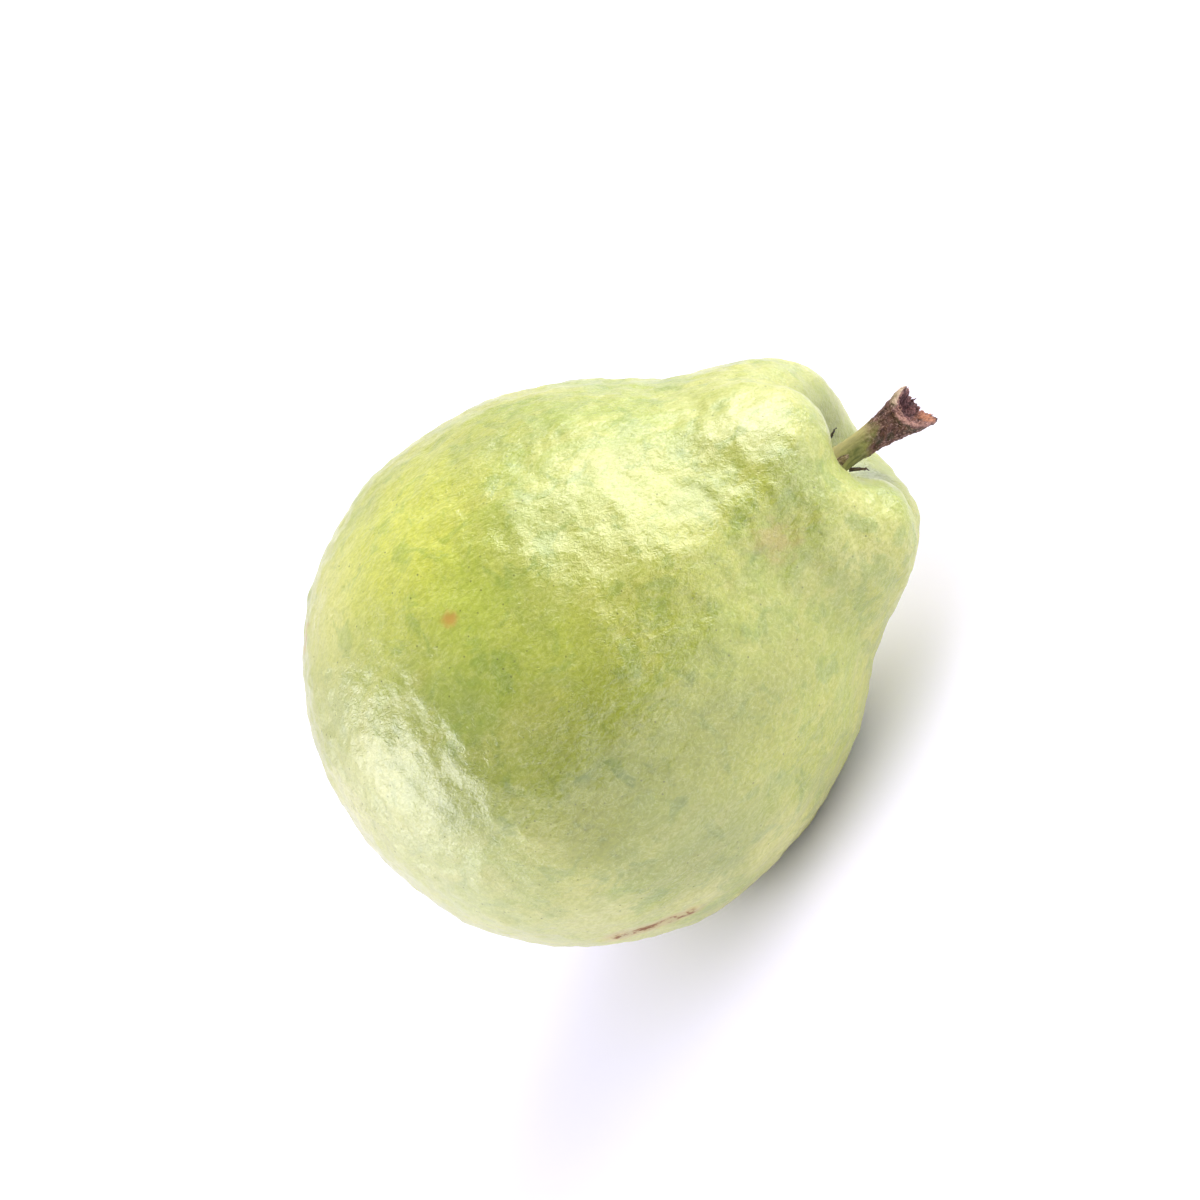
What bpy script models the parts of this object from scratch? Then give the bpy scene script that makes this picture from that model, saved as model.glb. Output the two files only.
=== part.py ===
"""A pear-shaped guava with its stem, dry bracts and calyx crown, lying on its side on a small flat spot.

Metres, +Z up. The origin is the middle of the flat spot that the fruit lies on.
The fruit's own axis runs in the XZ plane: the stem points to +X and a little down.
Each piece is first made about that axis, with local +Z towards the stem and local +X on the upper side,
and is then laid down. Outlines are lists of (radius, distance along the axis) in millimetres.
"""

import math

import bmesh
import bpy
import numpy as np
from mathutils import Matrix, Vector

MM = 0.001

# How the fruit lies
AXIS_DECLINE = math.radians(11.0)  # the stem end points this much below the horizontal
REST_DEPTH = 0.8 * MM  # how much of the underside the flat spot takes away

# Fruit: its widest section is at distance 0 along the axis, and the stem end is at positive distances
BODY_RADIUS = 42.0 * MM
CALYX_REACH = 39.4 * MM  # from the widest section to the pole at the calyx end,
CALYX_FULLNESS = 2.07  # in the outline of an ellipse, or of a fuller curve where this is over 2
STEM_SIDE_MM = (
    (0.0, 49.4),
    (2.9, 49.5),
    (4.7, 50.5),
    (6.5, 52.4),
    (8.9, 54.3),
    (12.0, 55.1),
    (15.8, 54.0),
    (19.2, 51.0),
    (21.4, 47.2),
    (23.1, 43.2),
    (25.3, 39.0),
    (28.9, 34.5),
    (33.2, 29.0),
    (36.8, 22.5),
    (39.6, 16.0),
    (41.2, 9.0),
)
CALYX_BASIN_MM = (
    (12.4, -37.9),
    (10.9, -37.7),
    (9.9, -36.6),
    (9.2, -35.2),
    (7.8, -34.4),
    (4.2, -34.2),
    (0.0, -34.2),
)
RING_GAP = 5.0 * MM  # the turned outline has a ring at least this often,
RING_BEND = math.radians(15.0)  # and one wherever it has bent this much
SEGMENTS = 60

# Lobes round the stem, and the grooves between them. The turn is measured round the axis from the upper
# side towards -Y: (turn and half width in degrees, rise of the rim in mm, swelling of the neck)
RELIEF = (
    (28.0, 24.0, 1.0, 0.020),
    (64.0, 17.0, -1.1, -0.020),
    (116.0, 25.0, 2.4, 0.030),
    (158.0, 11.0, -2.2, 0.000),
    (190.0, 20.0, 0.8, 0.030),
    (246.0, 20.0, -0.8, -0.015),
    (292.0, 27.0, 1.5, 0.045),
    (351.0, 13.0, -1.4, -0.020),
)

# Calyx: five sepals in the basin
SEPALS = 5
CALYX_RIB = 0.35 * MM  # low ribs of the skin between the sepals
SEPAL_SIZE = Vector((7.6, 0.9, 5.6)) * MM
SEPAL_RING = 6.6 * MM
SEPAL_LEAN = math.radians(8.0)
SEPAL_CURL = 0.26
DISC_OUTLINE_MM = ((0.0, 0.8), (1.8, 0.6), (3.8, 1.0), (5.1, 0.9), (5.4, 0.4), (5.0, 0.0), (0.0, 0.0))

# Stem: it stands in the hollow on a gap, bends a little, and ends in a flared, torn cup
GAP = 0.3 * MM
STEM_OUTLINE_MM = (
    (0.0, 14.2),
    (1.7, 14.4),
    (2.8, 15.4),
    (3.3, 16.0),
    (3.65, 15.7),
    (3.45, 14.8),
    (2.85, 12.8),
    (2.35, 10.2),
    (2.0, 7.0),
    (1.93, 4.2),
    (2.1, 1.8),
    (2.35, 0.2),
    (2.1, 0.0),
    (0.0, 0.0),
)
STEM_SEGMENTS = 24
STEM_LENGTH = 16.0 * MM
STEM_BEND = 1.4 * MM  # sideways travel of the stem's end, away from the upper side
STEM_CORNER = 0.8 * MM  # how far the torn cup's two corners stand out
STEM_CORNER_TURN = math.radians(-27.0)
STEM_SKEW = 0.6 * MM  # how much farther out the lower corner is

# Dry bracts at the stem's foot: (turn, lean outwards in degrees, distance from the axis, start, length in mm)
BRACT_WIDTH = 1.5 * MM
BRACT_THICKNESS = 0.5 * MM
BRACT_CURL = 0.12
BRACTS = {
    "bract_front": (72.0, 3.0, 2.9, 1.6, 2.8),
    "bract_lower": (152.0, 40.0, 3.3, 2.2, 3.2),
    "bract_upper": (-48.0, 14.0, 3.0, 2.0, 3.0),
}

LOOKS = {
    "skin": ((0.50, 0.62, 0.16), 0.38),
    "stem_bark": ((0.19, 0.11, 0.07), 0.75),
    "dry_bract": ((0.09, 0.055, 0.035), 0.85),
    "sepal": ((0.22, 0.17, 0.07), 0.80),
    "calyx_disc": ((0.13, 0.08, 0.045), 0.85),
}


def clear_scene():
    for obj in list(bpy.data.objects):
        bpy.data.objects.remove(obj, do_unlink=True)


def material(slot):
    made = bpy.data.materials.get(slot)
    if made:
        return made
    colour, roughness = LOOKS[slot]
    made = bpy.data.materials.new(slot)
    made.use_nodes = True
    shader = made.node_tree.nodes["Principled BSDF"]
    shader.inputs["Base Color"].default_value = (*colour, 1.0)
    shader.inputs["Roughness"].default_value = roughness
    shader.inputs["Metallic"].default_value = 0.0
    return made


def step(low, high, value):
    """0 up to low, 1 from high on, and smooth between."""
    share = np.clip((value - low) / (high - low), 0.0, 1.0)
    return share * share * (3 - 2 * share)


def smooth_curve(points_mm):
    """Close points on a smooth curve through the given ones: cubic pieces with matching directions."""
    points = np.array(points_mm) * MM
    spans = np.linalg.norm(np.diff(points, axis=0), axis=1)
    knots = np.concatenate(([0.0], np.cumsum(spans)))
    reach = np.minimum(np.append(spans, spans[-1]), np.insert(spans, 0, spans[0]))
    tangents = np.gradient(points, knots, axis=0) * reach[:, None]
    travel = np.linspace(0.0, knots[-1], 24 * len(points))
    piece = np.clip(np.searchsorted(knots, travel, side="right") - 1, 0, len(spans) - 1)
    share = ((travel - knots[piece]) / spans[piece])[:, None]
    leave = (1 + 2 * share) * (1 - share) ** 2 * points[piece]
    arrive = share**2 * (3 - 2 * share) * points[piece + 1]
    leaving = share * (1 - share) ** 2 * tangents[piece]
    arriving = share**2 * (share - 1) * tangents[piece + 1]
    curve = leave + arrive + leaving + arriving
    curve[:, 0] = np.maximum(curve[:, 0], 0.0)
    return curve


def ring_outline(points_mm, gap, bend):
    """Points along the smooth outline, closer together where it bends."""
    curve = smooth_curve(points_mm)
    steps = np.diff(curve, axis=0)
    heading = np.unwrap(np.arctan2(steps[:, 1], steps[:, 0]))
    bends = np.abs(np.diff(heading, prepend=heading[0]))
    pace = np.cumsum(np.linalg.norm(steps, axis=1) / gap + bends / bend)
    pace = np.concatenate(([0.0], pace))
    wanted = np.linspace(0.0, pace[-1], math.ceil(pace[-1]) + 1)
    return np.column_stack([np.interp(wanted, pace, curve[:, axis]) for axis in (0, 1)])


def turned(name, outline, segments, collection, slot):
    """A solid turned about local Z from an outline that runs from the top down, left as a plain mesh."""
    profile = bpy.data.meshes.new(name + "_outline")
    points = [(radius, 0.0, height) for radius, height in outline]
    profile.from_pydata(points, [(k, k + 1) for k in range(len(points) - 1)], [])
    obj = bpy.data.objects.new(name, profile)
    collection.objects.link(obj)
    screw = obj.modifiers.new("turn", "SCREW")
    screw.steps = segments
    screw.render_steps = segments
    screw.use_merge_vertices = True
    screw.merge_threshold = 0.01 * MM
    graph = bpy.context.evaluated_depsgraph_get()
    obj.data = bpy.data.meshes.new_from_object(obj.evaluated_get(graph))
    obj.data.name = name
    obj.modifiers.clear()
    bpy.data.meshes.remove(profile)
    obj.data.shade_smooth()
    obj.data.materials.clear()
    obj.data.materials.append(material(slot))
    return obj


def reshape(mesh, function):
    """Moves every point of the mesh to where function puts it."""
    points = np.empty(len(mesh.vertices) * 3)
    mesh.vertices.foreach_get("co", points)
    mesh.vertices.foreach_set("co", function(points.reshape(-1, 3)).ravel())
    mesh.update()


def grown(points):
    """Gives the turned fruit its grooves and lobes round the stem, and its ribs round the calyx."""
    x, y, along = points.T
    radius = np.hypot(x, y)
    turn = np.arctan2(y, x)
    near_rim = step(3 * MM, 9 * MM, radius) * step(40 * MM, 54 * MM, along)
    on_neck = step(22 * MM, 50 * MM, along) * step(3 * MM, 9 * MM, radius)
    swelling = np.ones(len(points))
    rise = np.zeros(len(points))
    for middle, half_width, rise_mm, share in RELIEF:
        away = np.remainder(turn - math.radians(middle) + math.pi, 2 * math.pi) - math.pi
        here = np.exp(-((away / math.radians(half_width)) ** 2))
        swelling += share * here * on_neck
        rise += rise_mm * MM * here * near_rim
    near_calyx = step(8 * MM, 12 * MM, radius) * step(19 * MM, 13 * MM, radius) * step(-28 * MM, -34 * MM, along)
    rib = CALYX_RIB * np.cos(SEPALS * turn) * near_calyx
    return np.column_stack((x * swelling, y * swelling, along + rise - rib))


def fruit_outline():
    """Down the fruit's outside from the stem's hollow to the calyx basin."""
    angles = np.radians(np.arange(0.0, 71.0, 10.0))
    reach = (BODY_RADIUS / MM, -CALYX_REACH / MM)
    arc = np.column_stack((np.cos(angles), np.sin(angles))) ** (2 / CALYX_FULLNESS) * reach
    return (*STEM_SIDE_MM, *arc, *CALYX_BASIN_MM)


def lying():
    """Turns the fruit's axis from +Z to the way that it lies. The widest section stays at the origin."""
    along = Vector((math.cos(AXIS_DECLINE), 0.0, -math.sin(AXIS_DECLINE)))
    upper = Vector((math.sin(AXIS_DECLINE), 0.0, math.cos(AXIS_DECLINE)))
    return Matrix((upper, along.cross(upper), along)).transposed().to_4x4()


def put_down(fruit):
    """The matrix that also brings the fruit down so that its flat spot is round the origin."""
    points = [lying() @ vert.co for vert in fruit.data.vertices]
    lowest = min(points, key=lambda point: point.z)
    return Matrix.Translation((-lowest.x, 0.0, -lowest.z - REST_DEPTH)) @ lying()


def floor_block(collection):
    """A block that reaches up to the surface, and trims the fruit's underside flat."""
    size = 4 * BODY_RADIUS
    mesh = bpy.data.meshes.new("floor_block")
    shape = bmesh.new()
    bmesh.ops.create_cube(shape, size=size)
    bmesh.ops.translate(shape, vec=(0.0, 0.0, -size / 2), verts=shape.verts)
    shape.to_mesh(mesh)
    shape.free()
    block = bpy.data.objects.new("floor_block", mesh)
    block.hide_render = True
    block.display_type = "WIRE"
    collection.objects.link(block)
    return block


def make_fruit(collection, cutters):
    outline = ring_outline(fruit_outline(), RING_GAP, RING_BEND)
    fruit = turned("fruit", outline, SEGMENTS, collection, "skin")
    reshape(fruit.data, grown)
    fruit.matrix_world = put_down(fruit)
    trim = fruit.modifiers.new("flat_spot", "BOOLEAN")
    trim.operation = "DIFFERENCE"
    trim.object = floor_block(cutters)
    return fruit


def weathered(points):
    """Bends the turned stem and tears its cup."""
    x, y, height = points.T
    share = height / STEM_LENGTH
    turn = np.arctan2(y, x) - STEM_CORNER_TURN
    at_lip = step(0.78, 1.0, share) * step(2.0 * MM, 3.4 * MM, np.hypot(x, y))
    torn = (STEM_CORNER * np.cos(2 * turn) - STEM_SKEW * np.cos(turn)) * at_lip
    return np.column_stack((x - STEM_BEND * share, y, height + torn))


def make_stem(collection, place):
    outline = ring_outline(STEM_OUTLINE_MM, 1.6 * MM, math.radians(30.0))
    stem = turned("stem", outline, STEM_SEGMENTS, collection, "stem_bark")
    reshape(stem.data, weathered)
    stem.matrix_world = place
    return stem


def flake(name, size, curl, collection, slot):
    """A dry flake that stands on its broad end at z 0, narrows to a blunt tip, and curls towards local +Y."""
    mesh = bpy.data.meshes.new(name)
    shape = bmesh.new()
    bmesh.ops.create_cube(shape, size=1.0)
    upright = [edge for edge in shape.edges if abs(edge.verts[0].co.z - edge.verts[1].co.z) > 0.5]
    bmesh.ops.subdivide_edges(shape, edges=upright, cuts=3, use_grid_fill=True)
    for vert in shape.verts:
        height = vert.co.z + 0.5
        vert.co.x *= size.x * (1.0 - 0.72 * height**1.7)
        vert.co.y *= size.y * (1.0 - 0.45 * height)
        vert.co.y += curl * size.z * height**2
        vert.co.z = size.z * height
    shape.to_mesh(mesh)
    shape.free()
    mesh.shade_smooth()
    mesh.materials.append(material(slot))
    made = bpy.data.objects.new(name, mesh)
    collection.objects.link(made)
    soften = made.modifiers.new("soften", "SUBSURF")
    soften.levels = 1
    soften.render_levels = 1
    return made


def round_axis(turn, distance, height, lean):
    """A place beside the axis. Its local +Y points away from the axis, and local +Z leans out by lean."""
    spot = Matrix.Rotation(turn - math.pi / 2, 4, "Z") @ Matrix.Translation((0.0, distance, height))
    return spot @ Matrix.Rotation(-lean, 4, "X")


def make_bracts(collection, place):
    for name, (turn, lean, distance, start, length) in BRACTS.items():
        size = Vector((BRACT_WIDTH, BRACT_THICKNESS, length * MM))
        bract = flake(name, size, BRACT_CURL, collection, "dry_bract")
        spot = round_axis(math.radians(turn), distance * MM, start * MM, math.radians(lean))
        bract.matrix_world = place @ spot


def make_calyx(collection, place):
    outline = ring_outline(DISC_OUTLINE_MM, 1.5 * MM, math.radians(35.0))
    disc = turned("calyx_disc", outline, 20, collection, "calyx_disc")
    disc.matrix_world = place
    for k in range(SEPALS):
        sepal = flake(f"sepal_{k + 1}", SEPAL_SIZE, SEPAL_CURL, collection, "sepal")
        sepal.matrix_world = place @ round_axis(2 * math.pi * k / SEPALS, SEPAL_RING, 0.0, SEPAL_LEAN)


def main():
    clear_scene()
    parts = bpy.data.collections.new("guava")
    cutters = bpy.data.collections.new("cutters")
    for collection in (parts, cutters):
        bpy.context.scene.collection.children.link(collection)
    fruit = make_fruit(parts, cutters)
    stem_foot = STEM_SIDE_MM[0][1] * MM + GAP
    at_stem = fruit.matrix_world @ Matrix.Translation((0.0, 0.0, stem_foot))
    make_stem(parts, at_stem)
    make_bracts(parts, at_stem)
    basin_floor = CALYX_BASIN_MM[-1][1] * MM - GAP
    at_calyx = fruit.matrix_world @ Matrix.Translation((0.0, 0.0, basin_floor)) @ Matrix.Rotation(math.pi, 4, "X")
    make_calyx(parts, at_calyx)


main()
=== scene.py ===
"""The looks of the guava: waxy, lumpy skin, torn stalk, dry scales and calyx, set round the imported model.

Metres, +Z up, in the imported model's frame. The fruit's axis runs in the XZ plane, with the stem end to +X
and a little down. Pieces of the fruit are made about that axis: local +Z runs towards the stem, local +X is
on the upper side, and a turn about the axis is measured from the upper side towards -Y. Colours are parts of
red, green and blue light.
"""

import math

import bmesh
import bpy
import numpy as np
from mathutils import Matrix, Vector


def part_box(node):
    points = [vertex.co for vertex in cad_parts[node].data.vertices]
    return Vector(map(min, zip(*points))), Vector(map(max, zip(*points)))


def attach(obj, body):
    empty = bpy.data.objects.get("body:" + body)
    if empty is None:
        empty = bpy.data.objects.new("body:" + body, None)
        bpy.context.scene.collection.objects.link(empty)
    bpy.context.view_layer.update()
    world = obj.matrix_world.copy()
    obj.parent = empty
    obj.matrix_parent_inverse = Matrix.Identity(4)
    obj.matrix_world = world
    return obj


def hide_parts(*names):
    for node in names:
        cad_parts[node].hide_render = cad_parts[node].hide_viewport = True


MM = 0.001

# Camera: a long lens, from above the near side, with the picture turned counter-clockwise
CAMERA_AZIMUTH = math.radians(21.5)
CAMERA_ELEVATION = math.radians(22.0)
PICTURE_TURN = math.radians(57.8)
CAMERA_DISTANCE = 502.3 * MM
CAMERA_LENS_MM = 100.0
FRAME_RIGHT = -1.2 * MM  # how far the picture's middle is from the middle of the fruit
FRAME_UP = 4.3 * MM

# Light: pale surroundings, dim on the camera's side, with three large softboxes. Each softbox has its
# direction from the fruit (right, up, towards the camera), the angles from its middle where it starts and
# ends to fade (degrees), and its brightness.
SOFTBOXES = (
    (0.88, 0.34, 0.22, 8.0, 48.0, 4.4),
    (-0.50, 0.42, 0.75, 25.0, 65.0, 0.32),
    (-0.90, 0.40, -0.08, 2.0, 34.0, 3.8),
)
SURROUNDINGS = (1.0, 0.99, 1.0)
BRIGHT_SIDE = 0.76
DIM_SIDE = 0.06
BRIGHT_SIDE_ENDS = -0.5  # cosine of the angle from the camera's direction
DIM_SIDE_STARTS = 0.7
BACKDROP = 1.0  # how bright the surroundings look where they are seen over the floor
FLOOR_SIZE = 8.0
FLOOR_COLOUR = (0.86, 0.83, 0.97)
FLOOR_WASH = 1.8  # brightness of the lamp over the camera that shines on the floor only
FLOOR_WASH_ANGLE = math.radians(70.0)
FLOOR_WASH_COLOUR = (0.86, 0.88, 1.0)

# Shape of the fruit. Outlines are lists of (radius, distance along the axis) in millimetres, and the widest
# section is at distance 0.
AXIS_DECLINE = math.radians(11.0)
BODY_RADIUS_MM = 42.0
CALYX_REACH_MM = 39.4
CALYX_FULLNESS = 2.07
STEM_SIDE_MM = (
    (0.0, 49.4),
    (2.9, 49.5),
    (4.7, 50.5),
    (6.5, 52.4),
    (8.9, 54.3),
    (12.0, 55.1),
    (15.8, 54.0),
    (19.2, 51.0),
    (21.4, 47.2),
    (23.1, 43.2),
    (25.3, 39.0),
    (28.9, 34.5),
    (33.2, 29.0),
    (36.8, 22.5),
    (39.6, 16.0),
    (41.2, 9.0),
)
CALYX_BASIN_MM = (
    (12.4, -37.9),
    (10.9, -37.7),
    (9.9, -36.6),
    (9.2, -35.2),
    (7.8, -34.4),
    (4.2, -34.2),
    (0.0, -34.2),
)
SKIN_RINGS = 300
SKIN_SEGMENTS = 320

# Lobes and grooves round the stem: (turn and half width in degrees, rise of the rim in mm, swelling of the
# neck as a share of its radius)
LOBES = (
    (28.0, 24.0, 1.0, 0.020),
    (64.0, 17.0, -1.1, -0.020),
    (90.0, 13.0, -0.7, 0.000),
    (116.0, 25.0, 2.4, 0.030),
    (158.0, 11.0, -2.2, 0.000),
    (190.0, 20.0, 0.8, 0.030),
    (246.0, 20.0, -0.8, -0.015),
    (292.0, 27.0, 1.5, 0.045),
    (351.0, 13.0, -1.4, -0.020),
)
CALYX_RIB = 0.35 * MM

# Dry calyx: a ring of lobes round a disc, in the basin at the far end of the fruit
GAP = 0.3 * MM
SEPALS = 5
SEPAL_SIZE = Vector((7.6, 0.9, 5.6)) * MM
SEPAL_RING = 6.6 * MM
SEPAL_LEAN = math.radians(11.0)
SEPAL_CURL = 0.38
SEPAL_COLOURS = ((0.075, 0.052, 0.026), (0.36, 0.27, 0.14))
SEPAL_GRAIN_MM = 1.1
DISC_OUTLINE_MM = (
    (0.0, 0.9),
    (0.5, 0.85),
    (0.8, 0.5),
    (1.8, 0.35),
    (3.8, 0.8),
    (5.1, 0.9),
    (5.4, 0.4),
    (5.0, 0.0),
    (0.0, 0.0),
)
DISC_COLOURS = ((0.055, 0.032, 0.018), (0.24, 0.15, 0.080))
DISC_GRAIN_MM = 0.8
DISC_RINGS = 70
DISC_SEGMENTS = 120
STAMENS = 150
STAMEN_RING_MM = (2.9, 5.0)
STAMEN_LENGTH_MM = (1.2, 2.8)
STAMEN_WIDTH = 0.24 * MM
STAMEN_COLOUR = (0.42, 0.28, 0.15)

# Stalk: its outline is turned, then bent and torn at the lip of its hollow end
STALK_OUTLINE_MM = (
    (0.0, 12.9),
    (1.3, 13.1),
    (2.3, 14.3),
    (2.9, 15.6),
    (3.3, 16.0),
    (3.6, 15.7),
    (3.45, 14.8),
    (2.85, 12.8),
    (2.35, 10.2),
    (2.0, 7.0),
    (1.93, 4.2),
    (2.1, 1.8),
    (2.35, 0.2),
    (2.1, 0.0),
    (0.0, 0.0),
)
STALK_RINGS = 210
STALK_SEGMENTS = 190
STALK_LENGTH = 16.0 * MM
STALK_BEND = 1.4 * MM
STALK_CORNER = 1.0 * MM
STALK_CORNER_TURN = math.radians(-27.0)
STALK_SKEW = 0.45 * MM
STALK_DIP = 1.0 * MM  # how much lower the lip is on the near side
STALK_DIP_TURN = math.radians(72.0)
STALK_RISE = 0.9 * MM  # how much higher the lip is on the far side
SPLINTERS = 26
SPLINTER_FOOT_MM = (3.15, 15.6)  # distance from the axis, and height
STALK_GREEN_DARK = (0.155, 0.170, 0.055)
STALK_GREEN_PALE = (0.38, 0.37, 0.125)
SUNLIT_STALK_TAN = (0.54, 0.46, 0.200)
BARK_DARK = (0.065, 0.028, 0.024)
BARK_BROWN = (0.21, 0.098, 0.075)
BARK_GRAINS = (0.56, 0.34, 0.29)
BARK_MOSS = (0.070, 0.080, 0.045)
CUP_DARK = (0.075, 0.032, 0.032)
CUP_BROWN = (0.36, 0.17, 0.150)
LIP_PINK = (0.50, 0.27, 0.20)
CORNER_CREAM = (0.70, 0.54, 0.36)
LOW_SIDE_ORANGE = (0.58, 0.24, 0.12)
TIP_DARK = (0.085, 0.040, 0.035)
CUP_SLOPE = 0.44  # how fast the cup widens towards its lip
CUP_FLOOR = (11.2 * MM, 11.8 * MM)  # heights between which the cup's floor fades into its wall
FLAKE_HEIGHT = 0.35 * MM
GRAIN_HEIGHT = 0.20 * MM
FIBRE_HEIGHT = 0.14 * MM

# Dry scales at the stalk's foot: (turn, outward lean and twist in degrees, distance from the axis, start
# above the foot, length and width in mm, dark colour, pale colour)
BRACT_THICKNESS = 0.42 * MM
BRACT_CURL = 0.12
BRACT_GRAIN_MM = 0.7
BRACTS = {
    "bract_front": (72.0, 3.0, 0.0, 2.9, 1.9, 2.8, 1.5, (0.080, 0.048, 0.028), (0.74, 0.56, 0.38)),
    "bract_lower": (150.0, 31.0, 28.0, 2.3, 2.7, 2.9, 1.0, (0.022, 0.015, 0.011), (0.34, 0.24, 0.15)),
    "bract_upper": (-48.0, 14.0, 0.0, 3.0, 2.0, 3.0, 0.75, (0.020, 0.016, 0.010), (0.09, 0.075, 0.035)),
}
FLAKE_RINGS = 60
FLAKE_SEGMENTS = 72

# Lumps all over the skin: (size in mm, height in mm, seed)
LUMPS = (
    (27.0, 0.40, 11),
    (11.0, 0.28, 12),
    (5.6, 0.19, 13),
    (3.0, 0.18, 14),
    (1.7, 0.11, 15),
)
# Wrinkles: (size in mm, stretch along the axis, height in mm, seed)
WRINKLES = (
    (4.4, 0.6, 0.060, 21),
    (2.0, 0.65, 0.020, 22),
)
# Single bulges and dents: (turn in degrees, then in mm: distance along the axis, half width across, half
# width along, height)
BUMPS = (
    (35.5, 19.3, 3.0, 3.0, -0.55),
    (104.0, -25.0, 11.0, 11.0, 0.9),
    (133.0, -9.0, 7.0, 7.0, -0.8),
    (57.0, 35.0, 6.0, 12.0, 1.25),
    (81.0, 43.0, 6.0, 8.0, -0.8),
    (57.0, -7.0, 3.2, 1.0, 0.32),
    (48.0, -8.5, 2.2, 0.9, 0.24),
    (30.0, 6.0, 2.2, 0.9, 0.25),
    (38.0, 17.0, 1.5, 2.6, 0.35),
)

# Colours of the skin
DEEP_GREEN = (0.345, 0.42, 0.042)
FRESH_GREEN = (0.43, 0.465, 0.056)
STREAK_GREEN = (0.50, 0.50, 0.095)
BLOTCH_GREEN = (0.31, 0.38, 0.085)
FLECK_GREEN = (0.54, 0.56, 0.17)
THREAD_GREEN = (0.66, 0.70, 0.26)
CALYX_END_GREEN = (0.60, 0.62, 0.26)
HOLLOW_SHADE_GREEN = (0.30, 0.35, 0.065)
DOT_GREEN = (0.18, 0.21, 0.025)
BASIN_BROWN = (0.13, 0.095, 0.040)
BASIN_EDGE = (0.36, 0.27, 0.090)
SCAR_EDGE = (0.56, 0.38, 0.13)
SCAR_CORE = (0.20, 0.070, 0.020)
# Shades that the colour below is multiplied by
PIT_SHADE = (0.70, 0.80, 0.72)
GRAIN_DARK = (0.87, 0.90, 0.58)
GRAIN_PALE = (1.18, 1.17, 1.27)
FOLD_SHADE = (0.62, 0.66, 0.60)

# Broad changes of the skin's colour, partly its own tone and partly painted light and shade: paler where the
# limbs, the neck and the broad highlight catch light, darker where shade falls in the middle: (turn in
# degrees, distance along the axis in mm, half width in mm, colour, strength)
TINTS_AND_PAINTED_LIGHT = (
    (18.0, -3.0, 24.0, (0.70, 0.72, 0.085), 0.75),
    (42.0, 4.0, 14.0, (0.54, 0.62, 0.080), 0.60),
    (82.0, 4.0, 18.0, (0.265, 0.305, 0.012), 0.66),
    (12.0, -18.0, 13.0, (0.80, 0.78, 0.240), 0.70),
    (48.0, -32.0, 9.0, (0.80, 0.76, 0.360), 0.60),
    (68.0, -13.0, 12.0, (0.27, 0.32, 0.006), 0.90),
    (70.0, 14.0, 8.0, (0.30, 0.35, 0.015), 0.60),
    (90.0, -1.0, 9.0, (0.30, 0.335, 0.008), 0.72),
    (114.0, 6.0, 17.0, (0.30, 0.34, 0.080), 0.65),
    (98.0, 51.0, 10.0, (0.62, 0.62, 0.170), 0.60),
    (28.0, 47.0, 10.0, (0.60, 0.61, 0.210), 0.55),
    (136.0, 12.0, 11.0, (0.68, 0.66, 0.240), 0.65),
    (93.0, 20.0, 14.0, (0.295, 0.335, 0.025), 0.65),
    (76.0, 27.0, 9.0, (0.31, 0.36, 0.020), 0.78),
    (98.0, 32.0, 10.0, (0.36, 0.39, 0.050), 0.75),
    (0.0, 45.0, 14.0, (0.58, 0.60, 0.170), 0.50),
    (57.0, 12.0, 8.0, (0.50, 0.56, 0.080), 0.55),
    (126.0, 0.0, 8.0, (0.62, 0.60, 0.210), 0.50),
    (102.0, 56.2, 4.0, (0.42, 0.47, 0.040), 0.55),
    (36.0, 25.0, 19.0, (0.60, 0.62, 0.210), 0.60),
    (113.0, -14.0, 11.0, (0.66, 0.63, 0.240), 0.50),
)
# Marks on the skin, an orange spot, a brown patch and an orange streak: (turn in degrees, distance along the
# axis in mm, half width in mm, height of the waves of its edge as a share of that, their size in mm, squeeze
# along the axis, strength, colour)
MARKS = (
    (39.5, 1.7, 1.8, 1.6, 2.0, 1.0, 0.80, (0.62, 0.31, 0.04)),
    (72.0, 42.9, 4.2, 1.8, 2.0, 1.0, 0.50, (0.47, 0.33, 0.07)),
    (4.0, -24.4, 2.6, 1.6, 1.2, 0.5, 0.75, (0.55, 0.30, 0.10)),
)
# The scar's ends: (turn in degrees, distance along the axis in mm)
SCAR_START = (125.0, -14.4)
SCAR_END = (131.0, -5.1)
SCAR_WAVES = 2.0 * MM  # how far its line is bent
LINE_WAVES = 450.0  # how many bends there are in a metre
SKIN_DEPTH = 3.0 * MM  # a mark along a line doesn't reach the far side of the fruit
# Painted shade along a fold in the hollow's wall: (turn in degrees, distance from the axis and along it in
# mm)
FOLD = (
    (-153.0, 6.9, 52.9),
    (-160.0, 7.6, 53.8),
    (-168.0, 8.7, 54.6),
)
FOLD_WIDTH = 2.6 * MM
DOT_SPACING = 1.3 * MM
EDGE_WAVES_MM = 2.0  # size of the waves of a small mark's edge
BROAD_WAVES_MM = 7.0  # size of the waves of a broad tint's edge
SPOT_CORE = 0.2  # share of a mark's half width where it is at its full strength
HOLLOW_INSIDE = 9.0 * MM  # the hollow's wall is nearer to the axis than this
# The skin's gloss and its finest relief. THIN_WAX is the middle of a broad place with less wax: (turn in
# degrees, distance along the axis in mm)
WAX = 0.62
THIN_WAX = (38.0, 25.0)
THIN_WAX_WIDTH = 30.0 * MM
THIN_WAX_LOSS = 0.30
RIPPLE_HEIGHT = 0.24 * MM
CRINKLE_HEIGHT = 0.16 * MM
PORE_HEIGHT = 0.05 * MM


# ---- numbers to shapes ---------------------------------------------------------------------------


def step(low, high, value):
    """0 up to low, 1 from high on, and smooth between."""
    share = np.clip((value - low) / (high - low), 0.0, 1.0)
    return share * share * (3 - 2 * share)


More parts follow.
